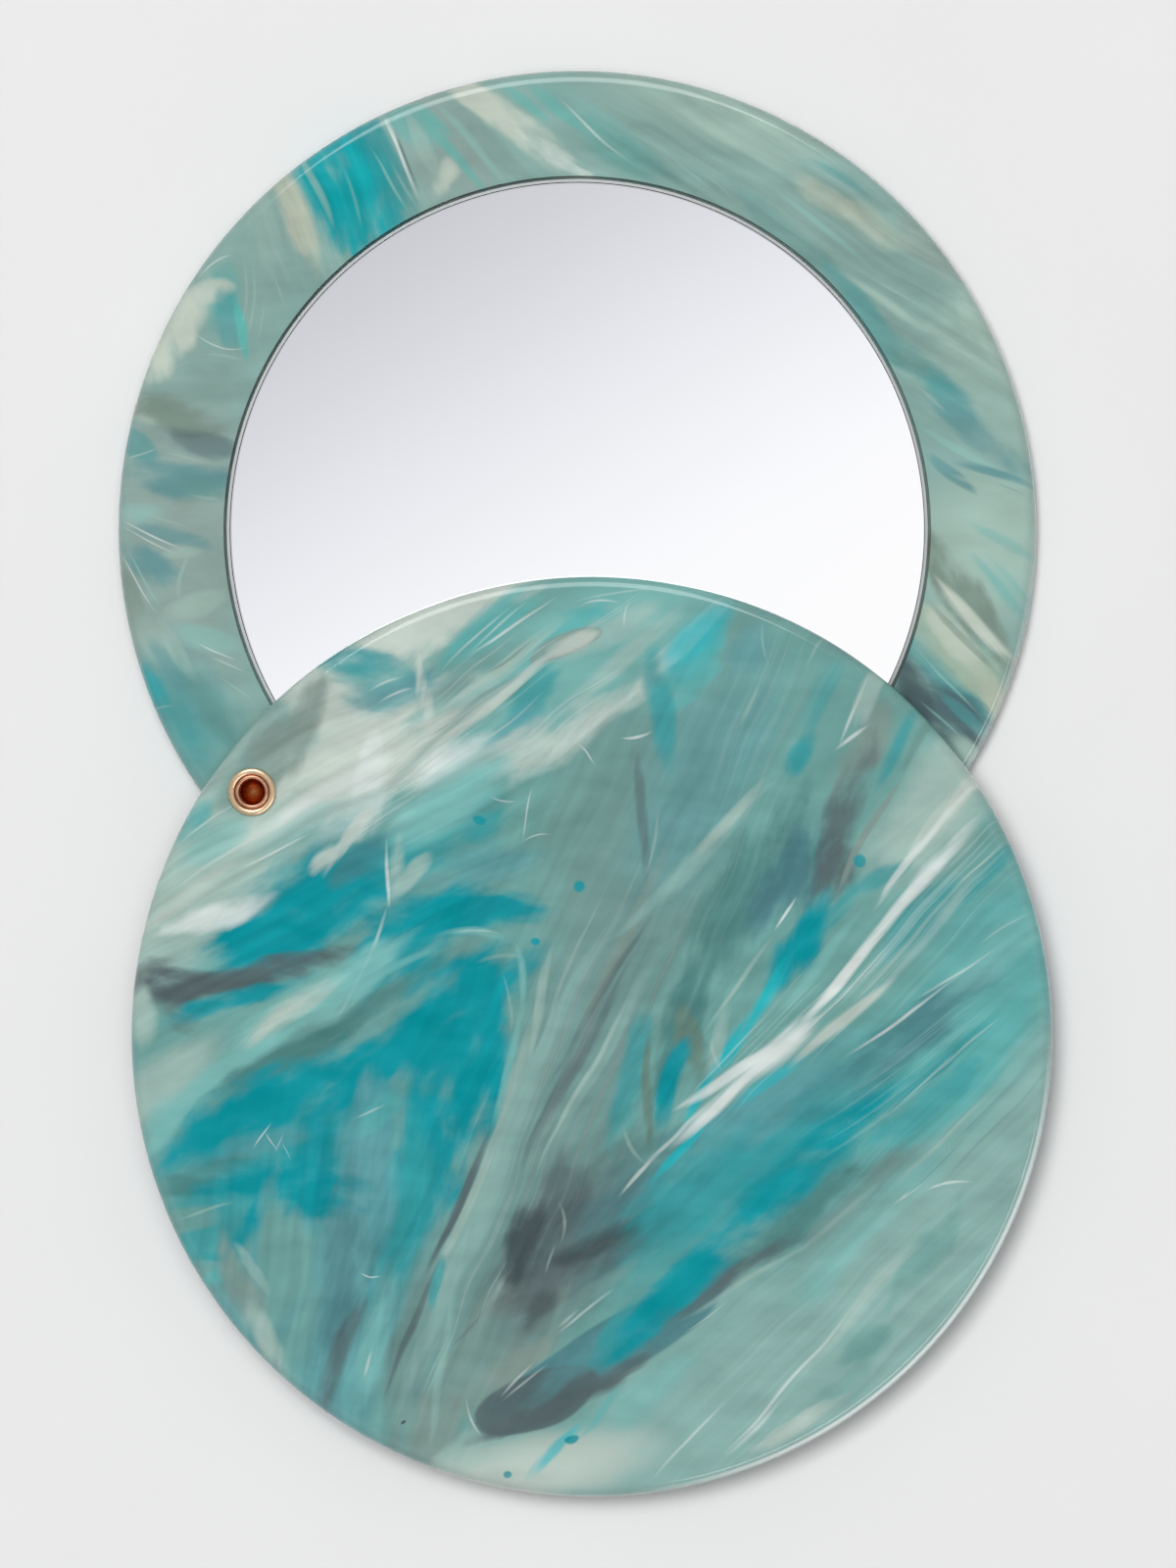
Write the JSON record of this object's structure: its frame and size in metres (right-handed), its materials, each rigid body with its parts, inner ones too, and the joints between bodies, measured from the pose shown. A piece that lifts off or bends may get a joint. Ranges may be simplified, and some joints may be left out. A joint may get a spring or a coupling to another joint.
{
  "type": "pocket mirror",
  "caption": "Round pocket mirror in marbled acetate: a mirror disc and a round cover disc that swings open on an eyelet near the rims.",
  "frame": {"origin": "middle of the mirror disc's flat back face", "axes": "+Z out of the mirror, square to both discs; +Y up the picture, away from the cover; +X to the picture's right"},
  "size_m": [0.0772, 0.1178, 0.007],
  "materials": {
    "sage_acetate": "tumbled and polished, marbled sage, grey and teal",
    "teal_acetate": "tumbled and polished, marbled teal, sage, slate and white",
    "mirror": "silvered glass with a ground arris",
    "backing_paint": "grey mirror backing paint",
    "adhesive": "double-sided adhesive foam",
    "copper": "polished rose-copper plating",
    "nylon": "natural nylon"
  },
  "bodies": {
    "mirror_half": {"mirror_disc": "sage_acetate", "mirror_glass": "mirror", "mirror_silvering": "backing_paint", "adhesive_disc": "adhesive", "pivot_eyelet": "copper", "eyelet_washer": "copper", "pivot_spacer": "nylon"},
    "cover": {"cover_disc": "teal_acetate"}
  },
  "joints": [
    {"name": "cover_swivel", "type": "hinge", "parent": "mirror_half", "child": "cover", "pos_m": [-0.02681, -0.02171, 0.0035], "axis": [0, 0, -1], "continuous": true}
  ]
}
